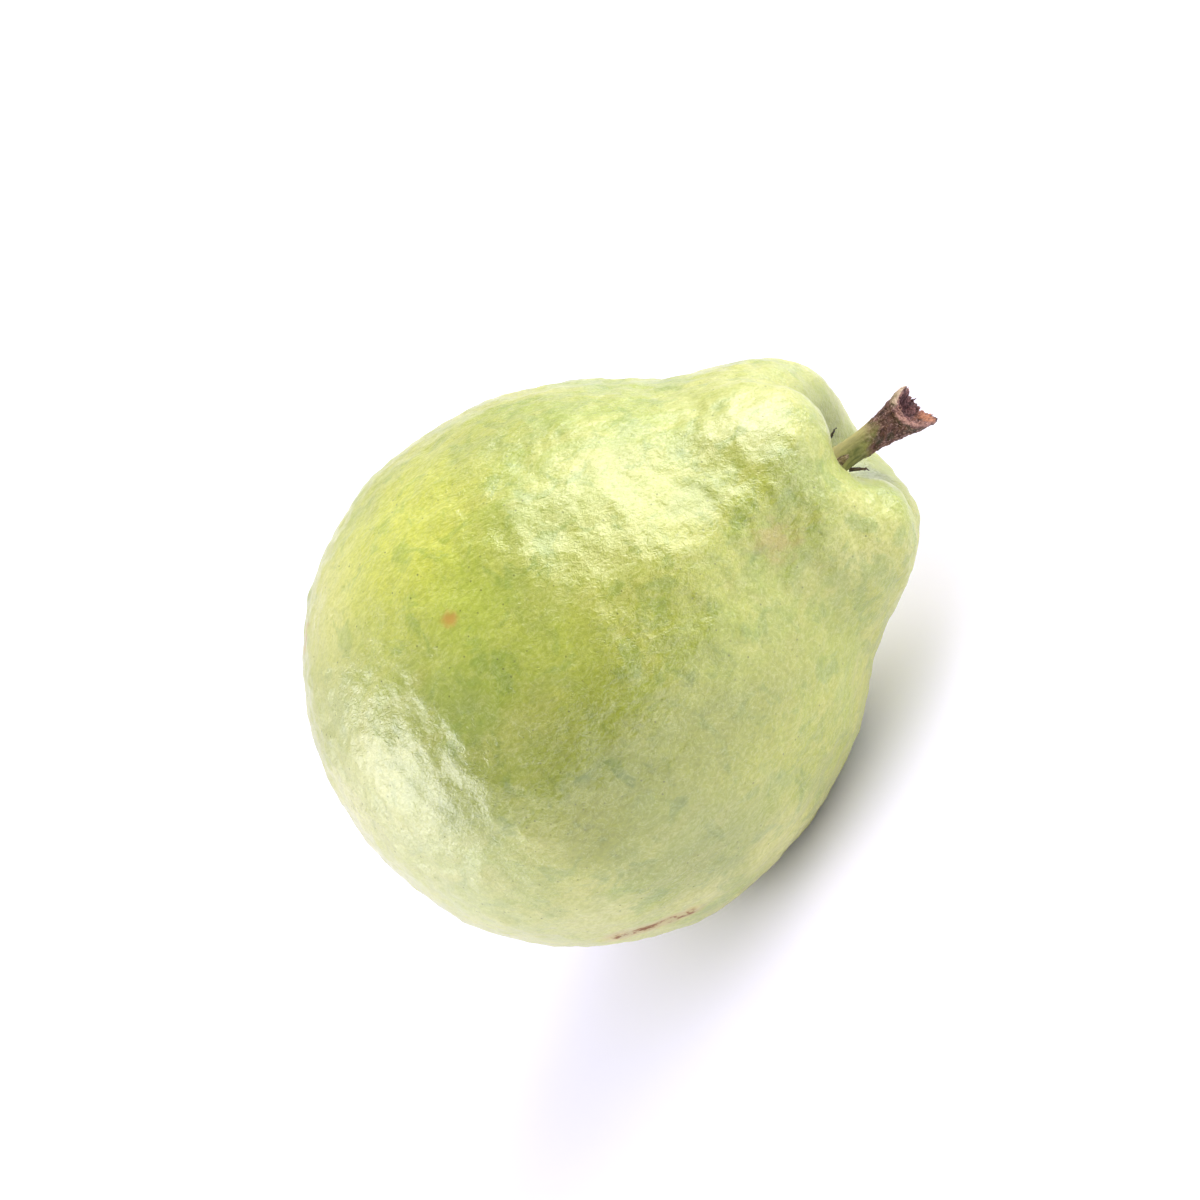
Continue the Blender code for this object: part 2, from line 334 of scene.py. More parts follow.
def smooth_curve(points_mm):
    """Close points on a smooth curve through the given ones: cubic pieces with matching directions."""
    points = np.array(points_mm) * MM
    spans = np.linalg.norm(np.diff(points, axis=0), axis=1)
    knots = np.concatenate(([0.0], np.cumsum(spans)))
    reach = np.minimum(np.append(spans, spans[-1]), np.insert(spans, 0, spans[0]))
    tangents = np.gradient(points, knots, axis=0) * reach[:, None]
    travel = np.linspace(0.0, knots[-1], 60 * len(points))
    piece = np.clip(np.searchsorted(knots, travel, side="right") - 1, 0, len(spans) - 1)
    share = ((travel - knots[piece]) / spans[piece])[:, None]
    leave = (1 + 2 * share) * (1 - share) ** 2 * points[piece]
    arrive = share**2 * (3 - 2 * share) * points[piece + 1]
    leaving = share * (1 - share) ** 2 * tangents[piece]
    arriving = share**2 * (share - 1) * tangents[piece + 1]
    curve = leave + arrive + leaving + arriving
    curve[:, 0] = np.maximum(curve[:, 0], 0.0)
    return curve


def even_points(curve, count):
    """That many points along the curve, an equal distance apart."""
    travel = np.concatenate(([0.0], np.cumsum(np.linalg.norm(np.diff(curve, axis=0), axis=1))))
    wanted = np.linspace(0.0, travel[-1], count)
    return np.column_stack([np.interp(wanted, travel, curve[:, axis]) for axis in (0, 1)])


def smooth_noise(points, size, seed):
    """Seeded gradient noise at the points, about -1 to 1, in lumps of the given size."""
    draw = np.random.default_rng(seed)
    order = draw.permutation(256)
    slopes = draw.normal(size=(256, 3))
    slopes /= np.linalg.norm(slopes, axis=1)[:, None]
    place = points / size
    cell = np.floor(place).astype(int)
    inside = place - cell
    fade = inside**3 * (inside * (inside * 6 - 15) + 10)
    total = np.zeros(len(points))
    for corner in np.ndindex(2, 2, 2):
        at = (cell + corner) & 255
        pick = order[(order[(order[at[:, 0]] + at[:, 1]) & 255] + at[:, 2]) & 255]
        weight = np.prod(np.where(np.array(corner) == 1, fade, 1 - fade), axis=1)
        total += weight * np.einsum("ij,ij->i", slopes[pick], inside - corner)
    return total * 1.7


def turned_points(outline, segments):
    """Rings of points from an outline turned about local Z. The outline starts and ends on the axis."""
    turns = np.linspace(0.0, 2 * math.pi, segments, endpoint=False)
    radius, along = outline[:, :1], outline[:, 1:]
    flat = np.ones_like(turns)
    return np.stack((radius * np.cos(turns), radius * np.sin(turns), along * flat), axis=-1)


def closed_mesh(name, rings):
    """A closed mesh from rings of points. The first and the last ring are single points."""
    count, segments, _ = rings.shape
    inner = rings[1:-1].reshape(-1, 3)
    points = np.vstack((rings[:1, 0], inner, rings[-1:, 0]))
    last = len(points) - 1
    start = 1 + np.arange(count - 2)[:, None] * segments
    here = np.arange(segments)
    after = np.roll(here, -1)
    corners = (start[:-1] + here, start[1:] + here, start[1:] + after, start[:-1] + after)
    quads = np.stack(corners, axis=-1).reshape(-1, 4)
    top = [(0, int(1 + a), int(1 + b)) for a, b in zip(here, after)]
    bottom = [(last, int(start[-1, 0] + b), int(start[-1, 0] + a)) for a, b in zip(here, after)]
    mesh = bpy.data.meshes.new(name)
    mesh.from_pydata(points.tolist(), [], top + quads.tolist() + bottom)
    mesh.shade_smooth()
    return mesh


def mesh_points(mesh):
    points = np.empty(len(mesh.vertices) * 3)
    mesh.vertices.foreach_get("co", points)
    return points.reshape(-1, 3)


def mesh_normals(mesh):
    normals = np.empty(len(mesh.vertices) * 3)
    mesh.vertex_normals.foreach_get("vector", normals)
    return normals.reshape(-1, 3)


def set_points(mesh, points):
    mesh.vertices.foreach_set("co", np.asarray(points).ravel())
    mesh.update()


def add_piece(name, mesh, place, material):
    """An object whose place is in its mesh, so that its box is the mesh's own."""
    mesh.transform(place)
    mesh.materials.append(material)
    piece = bpy.data.objects.new(name, mesh)
    bpy.context.scene.collection.objects.link(piece)
    return piece


# ---- materials -----------------------------------------------------------------------------------


class Paint:
    """A material under construction, in the local coordinates of the given place.
    Its methods add nodes and return their outputs."""

    def __init__(self, name, place=Matrix.Identity(4)):
        self.material = bpy.data.materials.new(name)
        self.material.use_nodes = True
        self.tree = self.material.node_tree
        self.shader = self.tree.nodes["Principled BSDF"]
        point = self.node("TexCoord").outputs["Object"]
        inputs = {"Vector": point, "Location": place.to_translation(), "Rotation": place.to_euler()}
        self.place = self.node("Mapping", inputs, vector_type="TEXTURE").outputs["Vector"]
        axes = self.node("SeparateXYZ", {"Vector": self.place}).outputs
        self.x, self.y, self.height = axes["X"], axes["Y"], axes["Z"]

    def node(self, kind, inputs=None, **settings):
        made = self.tree.nodes.new("ShaderNode" + kind)
        for key, value in settings.items():
            setattr(made, key, value)
        for key, value in (inputs or {}).items():
            self.put(made.inputs[key], value)
        return made

    def put(self, socket, value):
        """Links an output to the socket, or sets the socket's own value."""
        if isinstance(value, bpy.types.NodeSocket):
            self.tree.links.new(value, socket)
        elif isinstance(value, tuple) and len(value) == 3 and socket.type == "RGBA":
            socket.default_value = (*value, 1.0)
        else:
            socket.default_value = value

    def maths(self, operation, *values):
        return self.node("Math", dict(enumerate(values)), operation=operation).outputs[0]

    def vector(self, operation, *values):
        """The outputs of a vector maths node: Vector, and Value for a result that is a number."""
        return self.node("VectorMath", dict(enumerate(values)), operation=operation).outputs

    def lengthened(self, direction, factor):
        """A fixed direction times a factor that changes over the surface."""
        inputs = {"Vector": tuple(direction), "Scale": factor}
        return self.node("VectorMath", inputs, operation="SCALE").outputs["Vector"]

    def noise(self, size_mm, detail=2.0, roughness=0.5, distortion=0.0, squeeze=1.0):
        """Noise from 0 to 1 in lumps of the given size, longer along local Z where squeeze is under 1."""
        point = self.place
        if squeeze != 1.0:
            point = self.node("Mapping", {"Vector": point, "Scale": (1.0, 1.0, squeeze)}).outputs["Vector"]
        inputs = {
            "Vector": point,
            "Scale": 1.0 / (size_mm * MM),
            "Detail": detail,
            "Roughness": roughness,
            "Distortion": distortion,
        }
        return self.node("TexNoise", inputs).outputs["Fac"]

    def band(self, value, low, high, at_low=0.0, at_high=1.0):
        """at_low up to low, at_high from high on, and smooth between."""
        inputs = {"Value": value, "From Min": low, "From Max": high, "To Min": at_low, "To Max": at_high}
        return self.node("MapRange", inputs, interpolation_type="SMOOTHSTEP").outputs["Result"]

    def mix(self, share, first, second, blend="MIX"):
        made = self.node("Mix", data_type="RGBA", blend_type=blend, clamp_factor=True)
        self.put(made.inputs[0], share)
        self.put(made.inputs[6], first)
        self.put(made.inputs[7], second)
        return made.outputs[2]

    def over(self, below, where, strength, colour, blend="MIX"):
        """The colour laid over the one below at the given strength, where the share called where is 1."""
        return self.mix(self.maths("MULTIPLY", where, strength), below, colour, blend)

    def near(self, spot, half_width, waviness=0.0, size_mm=EDGE_WAVES_MM, squeeze=1.0):
        """1 at the spot, and 0 from about half_width away. Waves of the given size, as high as waviness times
        half_width, break up the edge, and with squeeze under 1 the place is longer along local Z."""
        away = self.vector("SUBTRACT", self.place, tuple(spot))["Vector"]
        squeezed = self.vector("MULTIPLY", away, (1.0, 1.0, squeeze))["Vector"]
        distance = self.vector("LENGTH", squeezed)["Value"]
        uneven = self.maths("MULTIPLY_ADD", self.noise(size_mm, 3.0), waviness * half_width, distance)
        middle = waviness * half_width * 0.5
        return self.band(uneven, middle + half_width, middle + half_width * SPOT_CORE)

    def beside(self, start, end, waviness):
        """How far across the skin the point is from the line between two points, with the line made wavy."""
        waves = self.node("TexNoise", {"Vector": self.place, "Scale": LINE_WAVES}).outputs["Color"]
        wave = self.vector("SUBTRACT", waves, (0.5, 0.5, 0.5))["Vector"]
        bent = self.vector("MULTIPLY_ADD", wave, (waviness,) * 3, self.place)["Vector"]
        away = self.vector("SUBTRACT", bent, tuple(start))["Vector"]
        span = end - start
        share = self.vector("DOT_PRODUCT", away, tuple(span / span.length_squared))["Value"]
        share = self.maths("MAXIMUM", self.maths("MINIMUM", share, 1.0), 0.0)
        rest = self.vector("SUBTRACT", away, self.lengthened(span, share))["Vector"]
        outward = ((start + end) / 2 * Vector((1.0, 1.0, 0.0))).normalized()
        lift = self.vector("DOT_PRODUCT", rest, tuple(outward))["Value"]
        level = self.vector("SUBTRACT", rest, self.lengthened(outward, lift))["Vector"]
        sideways = self.vector("LENGTH", level)["Value"]
        too_deep = self.maths("SUBTRACT", self.maths("ABSOLUTE", lift), SKIN_DEPTH)
        return self.maths("MAXIMUM", sideways, too_deep)

    def bump(self, height, strength, distance, below=None):
        inputs = {"Height": height, "Strength": strength, "Distance": distance}
        if below is not None:
            inputs["Normal"] = below
        return self.node("Bump", inputs).outputs["Normal"]

    def finish(self, **sockets):
        for key, value in sockets.items():
            self.put(self.shader.inputs[key.replace("_", " ")], value)
        return self.material


def from_axis(turn_degrees, radius_mm, along_mm):
    """A point in local coordinates, in metres."""
    turn = math.radians(turn_degrees)
    return Vector((radius_mm * math.cos(turn), radius_mm * math.sin(turn), along_mm)) * MM


def on_skin(turn_degrees, along_mm):
    """A point on the turned skin, outside the stem's hollow."""
    outline = smooth_curve(fruit_outline())
    outer = outline[outline[:, 0] > HOLLOW_INSIDE]
    order = np.argsort(outer[:, 1])
    radius = float(np.interp(along_mm * MM, outer[order, 1], outer[order, 0]))
    return from_axis(turn_degrees, radius / MM, along_mm)


def plain_green(paint, fleck):
    """Broad changes of green, with pale streaks along the fruit, deeper blotches and pale flecks."""
    broad = paint.noise(24.0)
    streaks = paint.noise(5.2, 4.0, 0.55, 0.6, squeeze=0.4)
    blotches = paint.noise(8.0, 3.0, 0.55, 0.7)
    green = paint.mix(paint.band(broad, 0.35, 0.65), DEEP_GREEN, FRESH_GREEN)
    green = paint.over(green, paint.band(streaks, 0.42, 0.64), 0.65, STREAK_GREEN)
    green = paint.over(green, paint.band(blotches, 0.50, 0.68), 0.50, BLOTCH_GREEN)
    return paint.over(green, paint.band(fleck, 0.52, 0.70), 0.30, FLECK_GREEN)


def tinted_and_lit(paint, green):
    # Broad patches of the skin's own tone together with painted light and shade: paler and darker places over
    # the green
    for turn, along_mm, half_width_mm, tint_and_light, strength in TINTS_AND_PAINTED_LIGHT:
        there = paint.near(on_skin(turn, along_mm), half_width_mm * MM, 0.5, size_mm=BROAD_WAVES_MM)
        green = paint.over(green, there, strength, tint_and_light)
    return green


def mottled(paint, green):
    """Shaded pits, thin pale threads, and a fine grain along the fruit."""
    pits = paint.noise(4.6, 4.0, 0.6, 0.8)
    threads = paint.noise(2.4, 5.0, 0.65, 1.6)
    fibres = paint.noise(0.55, 3.0, 0.7, 0.3, squeeze=0.6)
    green = paint.over(green, paint.band(pits, 0.52, 0.66), 0.85, PIT_SHADE, "MULTIPLY")
    off_thread = paint.maths("ABSOLUTE", paint.maths("SUBTRACT", threads, 0.5))
    green = paint.over(green, paint.band(off_thread, 0.035, 0.0), 0.30, THREAD_GREEN)
    grain = paint.mix(paint.band(fibres, 0.30, 0.70), GRAIN_DARK, GRAIN_PALE)
    return paint.mix(1.0, green, grain, "MULTIPLY")


def hollow_shaded(paint, green, radius):
    """Painted shade: a deeper, duller green inside the hollow round the stalk, and a shaded fold in its wall.
    """
    deep_enough = paint.band(paint.height, 44 * MM, 49 * MM)
    inside = paint.maths("MULTIPLY", paint.band(radius, 16 * MM, 9 * MM), deep_enough)
    # painted shade over the inside of the hollow, where little light reaches
    green = paint.over(green, inside, 0.80, HOLLOW_SHADE_GREEN)
    for turn, radius_mm, along_mm in FOLD:
        folded = paint.near(from_axis(turn, radius_mm, along_mm), FOLD_WIDTH, 0.4, size_mm=1.5)
        green = paint.over(green, folded, 0.75, FOLD_SHADE, "MULTIPLY")
    return green


def basin_painted(paint, green, radius):
    """Dry brown in the calyx basin and a paler brown round it, and the share of each point that is in it."""
    at_calyx = paint.band(paint.height, -24 * MM, -30 * MM)
    uneven = paint.maths("MULTIPLY_ADD", paint.noise(2.2, 3.0), 3 * MM, radius)
    in_basin = paint.maths("MULTIPLY", paint.band(uneven, 12.6 * MM, 11.2 * MM), at_calyx)
    round_basin = paint.maths("MULTIPLY", paint.band(uneven, 17.5 * MM, 12.5 * MM), at_calyx)
    green = paint.over(green, in_basin, 0.90, BASIN_BROWN)
    return paint.over(green, round_basin, 0.35, BASIN_EDGE), in_basin


def dotted(paint, green):
    """Fine dark dots, most of them faint."""
    cells = paint.node("TexVoronoi", {"Vector": paint.place, "Scale": 1 / DOT_SPACING}).outputs
    chance = paint.node("SeparateColor", {"Color": cells["Color"]}).outputs[0]
    dots = paint.maths("MULTIPLY", paint.band(cells["Distance"], 0.17, 0.07), paint.band(chance, 0.30, 1.0))
    return paint.over(green, dots, 0.90, DOT_GREEN)


def marked(paint, green):
    for turn, along_mm, half_width_mm, waviness, size_mm, squeeze, strength, colour in MARKS:
        mark = paint.near(on_skin(turn, along_mm), half_width_mm * MM, waviness, size_mm, squeeze)
        green = paint.over(green, mark, strength, colour)
    return green


def scarred(paint, green):
    """A long scar, brown round a broken dark core, and the share of each point that is in the core."""
    off_line = paint.beside(on_skin(*SCAR_START), on_skin(*SCAR_END), SCAR_WAVES)
    green = paint.over(green, paint.band(off_line, 3.6 * MM, 1.2 * MM), 0.60, SCAR_EDGE)
    broken = paint.band(paint.noise(1.8, 4.0, 0.7), 0.44, 0.54, 0.10, 1.0)
    core = paint.maths("MULTIPLY", paint.band(off_line, 2.0 * MM, 0.9 * MM), broken)
    return paint.mix(core, green, SCAR_CORE), core


def skin_normal(paint):
    """Ripples and crinkles, deeper in some places than in others, with fine pores over them."""
    rough_places = paint.band(paint.noise(11.0), 0.38, 0.62, 0.60, 1.0)
    ripples = paint.noise(1.5, 2.0, 0.5, 0.3, squeeze=0.7)
    crinkles = paint.noise(0.62, 3.0, 0.6, 1.2, squeeze=0.7)
    pores = paint.noise(0.36, 2.0, 0.6)
    normal = paint.bump(paint.maths("MULTIPLY", ripples, rough_places), 1.0, RIPPLE_HEIGHT)
    normal = paint.bump(paint.maths("MULTIPLY", crinkles, rough_places), 1.0, CRINKLE_HEIGHT, normal)
    return paint.bump(pores, 0.4, PORE_HEIGHT, normal)


def skin_wax(paint, dry):
    """The strength of the glossy coat: none where the skin is dry, and less in one broad place."""
    thin = paint.near(on_skin(*THIN_WAX), THIN_WAX_WIDTH, 0.3, size_mm=BROAD_WAVES_MM)
    left = paint.maths("MULTIPLY_ADD", thin, -THIN_WAX_LOSS, 1.0)
    return paint.maths("MULTIPLY", paint.band(dry, 0.0, 1.0, WAX, 0.0), left)


def skin_material(place):
    paint = Paint("guava_skin", place)
    flat = paint.node("CombineXYZ", {"X": paint.x, "Y": paint.y}).outputs["Vector"]
    radius = paint.vector("LENGTH", flat)["Value"]
    fleck = paint.noise(1.8, 4.0, 0.6, 0.5)

    green = mottled(paint, tinted_and_lit(paint, plain_green(paint, fleck)))
    green = paint.over(green, paint.band(paint.height, 5 * MM, -34 * MM), 0.50, CALYX_END_GREEN)
    green = hollow_shaded(paint, green, radius)
    green, in_basin = basin_painted(paint, green, radius)
    green = marked(paint, dotted(paint, green))
    green, in_scar = scarred(paint, green)

    normal = skin_normal(paint)
    dry = paint.maths("MAXIMUM", in_scar, in_basin)
    rough = paint.maths("MULTIPLY_ADD", dry, 0.35, paint.band(fleck, 0.3, 0.7, 0.38, 0.50))
    return paint.finish(
        Base_Color=green,
        Roughness=rough,
        Normal=normal,
        IOR=1.45,
        Subsurface_Weight=0.12,
        Subsurface_Radius=(1.0, 0.9, 0.35),
        Subsurface_Scale=2.0 * MM,
        Sheen_Weight=0.25,
        Sheen_Tint=(1.0, 0.95, 0.62),
        Sheen_Roughness=0.45,
        Specular_IOR_Level=0.2,
        Coat_Weight=skin_wax(paint, dry),
        Coat_Roughness=0.11,
        Coat_IOR=2.25,
        Coat_Normal=normal,
    )


def bark_painted(paint, across, flakes, grains):
    """Mottled green at the foot and dark flaking bark above, and the share of each point that is bark."""
    edge = paint.noise(2.0, 4.0, 0.5, 0.5, squeeze=0.5)
    mottle = paint.noise(1.1, 4.0, 0.6, 0.4, squeeze=0.45)
    green = paint.mix(paint.band(mottle, 0.34, 0.66), STALK_GREEN_DARK, STALK_GREEN_PALE)
    # Painted light: a pale tan band along the upper side of the green foot, where the light falls on it
    sunlit = paint.band(paint.maths("MULTIPLY_ADD", edge, 2 * MM, across), 1.8 * MM, 3.2 * MM)
    green = paint.over(green, sunlit, 0.70, SUNLIT_STALK_TAN)
    bark = paint.mix(paint.band(flakes, 0.36, 0.60), BARK_DARK, BARK_BROWN)
    bark = paint.over(bark, paint.band(grains, 0.54, 0.64), 0.80, BARK_GRAINS)
    bark = paint.over(bark, paint.band(paint.noise(2.6), 0.55, 0.66), 0.50, BARK_MOSS)
    line = paint.maths("SUBTRACT", paint.maths("MULTIPLY_ADD", edge, 6 * MM, paint.height), across)
    barky = paint.band(line, 8.7 * MM, 12.2 * MM)
    return paint.mix(barky, green, bark), barky


def lip_shape(paint, flat):
    """How far the stalk's lip is raised at each point's turn, and how near that turn is to the near side."""
    outward = paint.vector("NORMALIZE", flat)["Vector"]
    corner_way = (math.cos(STALK_CORNER_TURN), math.sin(STALK_CORNER_TURN), 0.0)
    dip_way = (math.cos(STALK_DIP_TURN), math.sin(STALK_DIP_TURN), 0.0)
    cosine = paint.vector("DOT_PRODUCT", outward, corner_way)["Value"]
    facing = paint.vector("DOT_PRODUCT", outward, dip_way)["Value"]
    farness = paint.maths("POWER", paint.maths("MULTIPLY_ADD", facing, -0.5, 0.5), 2.0)
    nearness = paint.maths("POWER", paint.maths("MULTIPLY_ADD", facing, 0.5, 0.5), 2.0)
    square = paint.maths("MULTIPLY", cosine, cosine)
    raised = paint.maths("MULTIPLY_ADD", square, 2 * STALK_CORNER, -STALK_CORNER)
    raised = paint.maths("MULTIPLY_ADD", cosine, -STALK_SKEW, raised)
    raised = paint.maths("MULTIPLY_ADD", nearness, -STALK_DIP, raised)
    return paint.maths("MULTIPLY_ADD", farness, STALK_RISE, raised), nearness


def cup_painted(paint, colour, across, radius, flat, flakes, grains):
    """A dark hollow, a pale torn lip with a paler corner and an orange low side, and a dark tip."""
    raised, nearness = lip_shape(paint, flat)
    level = paint.maths("SUBTRACT", paint.height, raised)
    cone = paint.maths("MULTIPLY_ADD", level, -CUP_SLOPE, radius)
    over_floor = paint.band(paint.height, *CUP_FLOOR)
    inside = paint.maths("MULTIPLY", paint.band(cone, -3.60 * MM, -3.78 * MM), over_floor)
    hollow = paint.mix(paint.band(flakes, 0.45, 0.66), CUP_DARK, CUP_BROWN)
    colour = paint.mix(inside, colour, hollow)

    lip = paint.band(level, 15.3 * MM, 15.8 * MM)
    lip = paint.maths("MULTIPLY", lip, paint.band(flakes, 0.35, 0.6, 0.35, 0.95))
    lip = paint.maths("MULTIPLY", lip, paint.band(nearness, 0.15, 0.5, 0.15, 1.0))
    colour = paint.mix(lip, colour, LIP_PINK)

    corner = paint.band(paint.maths("MULTIPLY_ADD", across, 1.4, paint.height), 17.6 * MM, 19.6 * MM)
    corner = paint.maths("MULTIPLY", corner, paint.band(grains, 0.35, 0.55, 0.5, 1.0))
    corner = paint.maths("MULTIPLY", corner, paint.maths("SUBTRACT", 1.0, inside))
    colour = paint.over(colour, corner, 0.85, CORNER_CREAM)

    low_side = paint.maths("MULTIPLY", paint.band(across, -1.7 * MM, -2.7 * MM), inside)
    colour = paint.over(colour, low_side, 0.85, LOW_SIDE_ORANGE)
    tip = paint.maths("MULTIPLY_ADD", paint.noise(0.8, 3.0), -1.4 * MM, across)
    return paint.over(colour, paint.band(tip, -3.55 * MM, -3.85 * MM), 0.95, TIP_DARK)


def stalk_material(place):
    """Green at the foot, brown flaking bark from half way up, and a dark hollow with a pale torn lip."""
    paint = Paint("stalk_bark", place)
    across = paint.maths("MULTIPLY_ADD", paint.height, STALK_BEND / STALK_LENGTH, paint.x)
    flat = paint.node("CombineXYZ", {"X": across, "Y": paint.y}).outputs["Vector"]
    radius = paint.vector("LENGTH", flat)["Value"]
    fibres = paint.noise(0.42, 4.0, 0.65, 0.4, squeeze=0.18)
    flakes = paint.noise(0.75, 4.0, 0.7, 0.8, squeeze=0.6)
    grains = paint.noise(0.33, 3.0, 0.6)
    colour, barky = bark_painted(paint, across, flakes, grains)
    colour = cup_painted(paint, colour, across, radius, flat, flakes, grains)
    normal = paint.bump(flakes, paint.maths("MULTIPLY_ADD", barky, 0.8, 0.1), FLAKE_HEIGHT)
    normal = paint.bump(grains, paint.maths("MULTIPLY", barky, 0.8), GRAIN_HEIGHT, normal)
    normal = paint.bump(fibres, 0.7, FIBRE_HEIGHT, normal)
    return paint.finish(Base_Color=colour, Roughness=0.70, Normal=normal)


def dry_material(name, place, colours, grain_mm, stubs=None):
    """Dry brown skin: a long grain between two colours, and another colour for stubs that stand over it."""
    paint = Paint(name, place)
    grain = paint.noise(grain_mm, 5.0, 0.65, 0.5, squeeze=0.35)
    colour = paint.mix(paint.band(grain, 0.35, 0.68), *colours)
    if stubs is not None:
        colour = paint.over(colour, paint.band(paint.height, 1.1 * MM, 2.2 * MM), 0.90, stubs)
    normal = paint.bump(grain, 0.8, 0.2 * MM)
    return paint.finish(Base_Color=colour, Roughness=0.85, Normal=normal)


# ---- the fruit -----------------------------------------------------------------------------------


def fruit_outline():
    """Down the fruit's outside from the stem's hollow to the calyx basin, with an arc for the calyx side."""
    angles = np.radians(np.arange(0.0, 71.0, 10.0))
    reach = (BODY_RADIUS_MM, -CALYX_REACH_MM)
    arc = np.column_stack((np.cos(angles), np.sin(angles))) ** (2 / CALYX_FULLNESS) * reach
    return (*STEM_SIDE_MM, *arc, *CALYX_BASIN_MM)


def grown(points):
    """Gives the turned fruit its grooves and lobes round the stem, and its ribs round the calyx."""
    x, y, along = points.T
    radius = np.hypot(x, y)
    turn = np.arctan2(y, x)
    near_rim = step(3 * MM, 9 * MM, radius) * step(40 * MM, 54 * MM, along)
    on_neck = step(22 * MM, 50 * MM, along) * step(3 * MM, 9 * MM, radius)
    swelling = np.ones(len(points))
    rise = np.zeros(len(points))
    for middle, half_width, rise_mm, share in LOBES:
        away = np.remainder(turn - math.radians(middle) + math.pi, 2 * math.pi) - math.pi
        here = np.exp(-((away / math.radians(half_width)) ** 2))
        swelling += share * here * on_neck
        rise += rise_mm * MM * here * near_rim
    round_basin = step(8 * MM, 12 * MM, radius) * step(19 * MM, 13 * MM, radius)
    rib = CALYX_RIB * np.cos(SEPALS * turn) * round_basin * step(-28 * MM, -34 * MM, along)
    return np.column_stack((x * swelling, y * swelling, along + rise - rib))


def lying():
    """Turns the fruit's axis from +Z to the way that it lies."""
    along = Vector((math.cos(AXIS_DECLINE), 0.0, -math.sin(AXIS_DECLINE)))
    upper = Vector((math.sin(AXIS_DECLINE), 0.0, math.cos(AXIS_DECLINE)))
    return Matrix((upper, along.cross(upper), along)).transposed().to_4x4()


def fruit_place(points):
    """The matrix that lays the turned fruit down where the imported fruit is: their far end and top agree."""
    _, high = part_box("fruit")
    world = points @ np.array(lying().to_3x3()).T
    return Matrix.Translation((high.x - world[:, 0].max(), 0.0, high.z - world[:, 2].max())) @ lying()


def skin_relief(points):
    """How far each point of the skin stands out, in metres."""
    x, y, along = points.T
    radius = np.hypot(x, y)
    calm = step(6 * MM, 12 * MM, radius)
    relief = np.zeros(len(points))
    for size, height, seed in LUMPS:
        relief += height * MM * smooth_noise(points, size * MM, seed)
    bend = np.column_stack([smooth_noise(points, 6 * MM, 30 + axis) for axis in range(3)]) * 1.2 * MM
    for size, stretch, height, seed in WRINKLES:
        fold = smooth_noise((points + bend) * (1.0, 1.0, stretch), size * MM, seed)
        relief += height * MM * (0.5 - 2 * np.abs(fold))
    turned = np.arctan2(y, x)
    for turn, middle, across, lengthways, height in BUMPS:
        off = np.remainder(turned - math.radians(turn) + math.pi, 2 * math.pi) - math.pi
        away = np.hypot(off * radius / (across * MM), (along - middle * MM) / (lengthways * MM))
        relief += height * MM * np.exp(-(away**2))
    return relief * calm


def make_skin():
    outline = even_points(smooth_curve(fruit_outline()), SKIN_RINGS)
    mesh = closed_mesh("skin", turned_points(outline, SKIN_SEGMENTS))
    set_points(mesh, grown(mesh_points(mesh)))
    points = mesh_points(mesh)
    place = fruit_place(points)
    points += mesh_normals(mesh) * skin_relief(points)[:, None]
    turn, shift = np.array(place.to_3x3()), np.array(place.translation)
    world = points @ turn.T + shift
    world[:, 2] = np.maximum(world[:, 2], 0.0)
    set_points(mesh, (world - shift) @ turn)
    skin = add_piece("skin", mesh, place, skin_material(place))
    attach(skin, "root")
    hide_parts("fruit")
    return place


# ---- the stalk, its scales and the calyx ---------------------------------------------------------


def turned_mesh(name, outline_mm, rings, segments):
    return closed_mesh(name, turned_points(even_points(smooth_curve(outline_mm), rings), segments))


def weathered(points):
    """Bends the turned stalk and tears its cup."""
    x, y, height = points.T
    share = height / STALK_LENGTH
    turn = np.arctan2(y, x) - STALK_CORNER_TURN
    at_lip = step(0.78, 1.0, share) * step(2.0 * MM, 3.4 * MM, np.hypot(x, y))
    nearness = 0.5 + 0.5 * np.cos(turn + STALK_CORNER_TURN - STALK_DIP_TURN)
    tilt = STALK_RISE * (1 - nearness) ** 2 - STALK_DIP * nearness**2
    torn = (STALK_CORNER * np.cos(2 * turn) - STALK_SKEW * np.cos(turn) + tilt) * at_lip
    round_lip = np.column_stack((x, y, np.zeros(len(points))))
    ragged = 0.35 * smooth_noise(round_lip, 0.9 * MM, 51) + 0.30 * smooth_noise(round_lip, 0.4 * MM, 52)
    return np.column_stack((x - STALK_BEND * share, y, height + torn + (ragged - 0.1) * MM * at_lip))


def stalk_relief(points):
    """How far each point of the stalk stands out, in metres: long ridges, and flakes of bark higher up."""
    height = points[:, 2]
    barky = step(5 * MM, 9 * MM, height - points[:, 0] + 2 * MM * smooth_noise(points, 3 * MM, 53))
    ridges = smooth_noise(points * (1.0, 1.0, 0.16), 0.9 * MM, 54)
    flakes = smooth_noise(points * (1.0, 1.0, 0.6), 0.8 * MM, 55)
    grains = smooth_noise(points, 0.38 * MM, 56)
    bark = 0.10 * ridges + 0.16 * flakes + 0.12 * grains
    return (0.05 * ridges + barky * bark) * MM


def joined(name, meshes):
    """One mesh from several, which are used up."""
    shape = bmesh.new()
    for mesh in meshes:
        shape.from_mesh(mesh)
        bpy.data.meshes.remove(mesh)
    made = bpy.data.meshes.new(name)
    shape.to_mesh(made)
    shape.free()
    made.shade_smooth()
    return made


